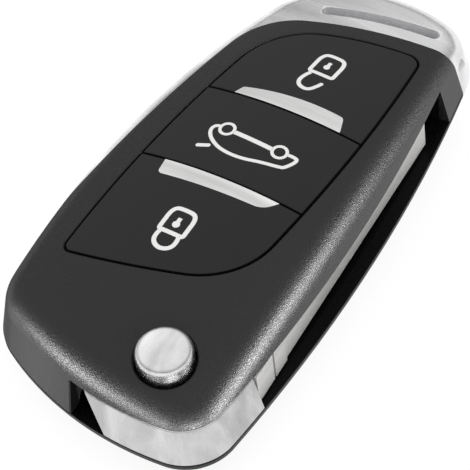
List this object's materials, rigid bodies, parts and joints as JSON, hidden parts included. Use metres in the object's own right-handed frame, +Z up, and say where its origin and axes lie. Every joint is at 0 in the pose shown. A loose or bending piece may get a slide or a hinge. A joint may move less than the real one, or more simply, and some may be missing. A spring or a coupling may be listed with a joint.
{
  "type": "flip key fob shell",
  "caption": "Folding key fob case with crowned top, leaf-shaped three-button pad, round release button, key-ring frame and a blade folded into its side.",
  "frame": {"origin": "on the flat underside, near the middle of the footprint", "axes": "+Z up out of the buttons, +Y towards the key ring end, +X towards the side that holds the blade"},
  "size_m": [0.0364, 0.0735, 0.0163],
  "materials": {
    "housing_plastic": "fine grained satin",
    "button_plastic": "smooth matte",
    "satin_chrome": "satin",
    "trim_metal": "brushed",
    "blade_steel": "satin",
    "spring_steel": "bright wire",
    "bush_brass": "turned",
    "mat_rubber": "matte"
  },
  "bodies": {
    "housing": {"upper_housing": "housing_plastic", "lower_housing": "housing_plastic", "chrome_frame": "satin_chrome", "frame_pin_left": "spring_steel", "frame_pin_right": "spring_steel", "keypad_mat": "mat_rubber", "spring_seat": "spring_steel", "return_spring": "spring_steel"},
    "flip_key": {"flip_head": "satin_chrome", "pivot_bush": "bush_brass", "blade_collar": "blade_steel", "key_blade": "blade_steel", "blade_pin": "spring_steel"},
    "release": {"release_button": "satin_chrome", "release_collar": "blade_steel", "stem_clip": "spring_steel"},
    "unlock": {"button_unlock": "button_plastic", "trim_strip_far": "trim_metal"},
    "boot": {"button_boot": "button_plastic"},
    "lock": {"button_lock": "button_plastic", "trim_strip_near": "trim_metal"}
  },
  "joints": [
    {"name": "blade_flip", "type": "hinge", "parent": "housing", "child": "flip_key", "pos_m": [0.0088, -0.0293, 0.0076], "axis": [0, 0, -1], "range_deg": [0, 180]},
    {"name": "release_press", "type": "slide", "parent": "housing", "child": "release", "axis": [0, 0, -1], "range_m": [0, 0.0014], "stiffness_N_per_m": 400, "springref_m": -0.002, "deforming": ["return_spring"]},
    {"name": "unlock_press", "type": "slide", "parent": "housing", "child": "unlock", "axis": [0, 0, -1], "range_m": [0, 0.0004], "stiffness_N_per_m": 800, "springref_m": -0.0005},
    {"name": "boot_press", "type": "slide", "parent": "housing", "child": "boot", "axis": [0, 0, -1], "range_m": [0, 0.0004], "stiffness_N_per_m": 800, "springref_m": -0.0005},
    {"name": "lock_press", "type": "slide", "parent": "housing", "child": "lock", "axis": [0, 0, -1], "range_m": [0, 0.0004], "stiffness_N_per_m": 800, "springref_m": -0.0005}
  ]
}
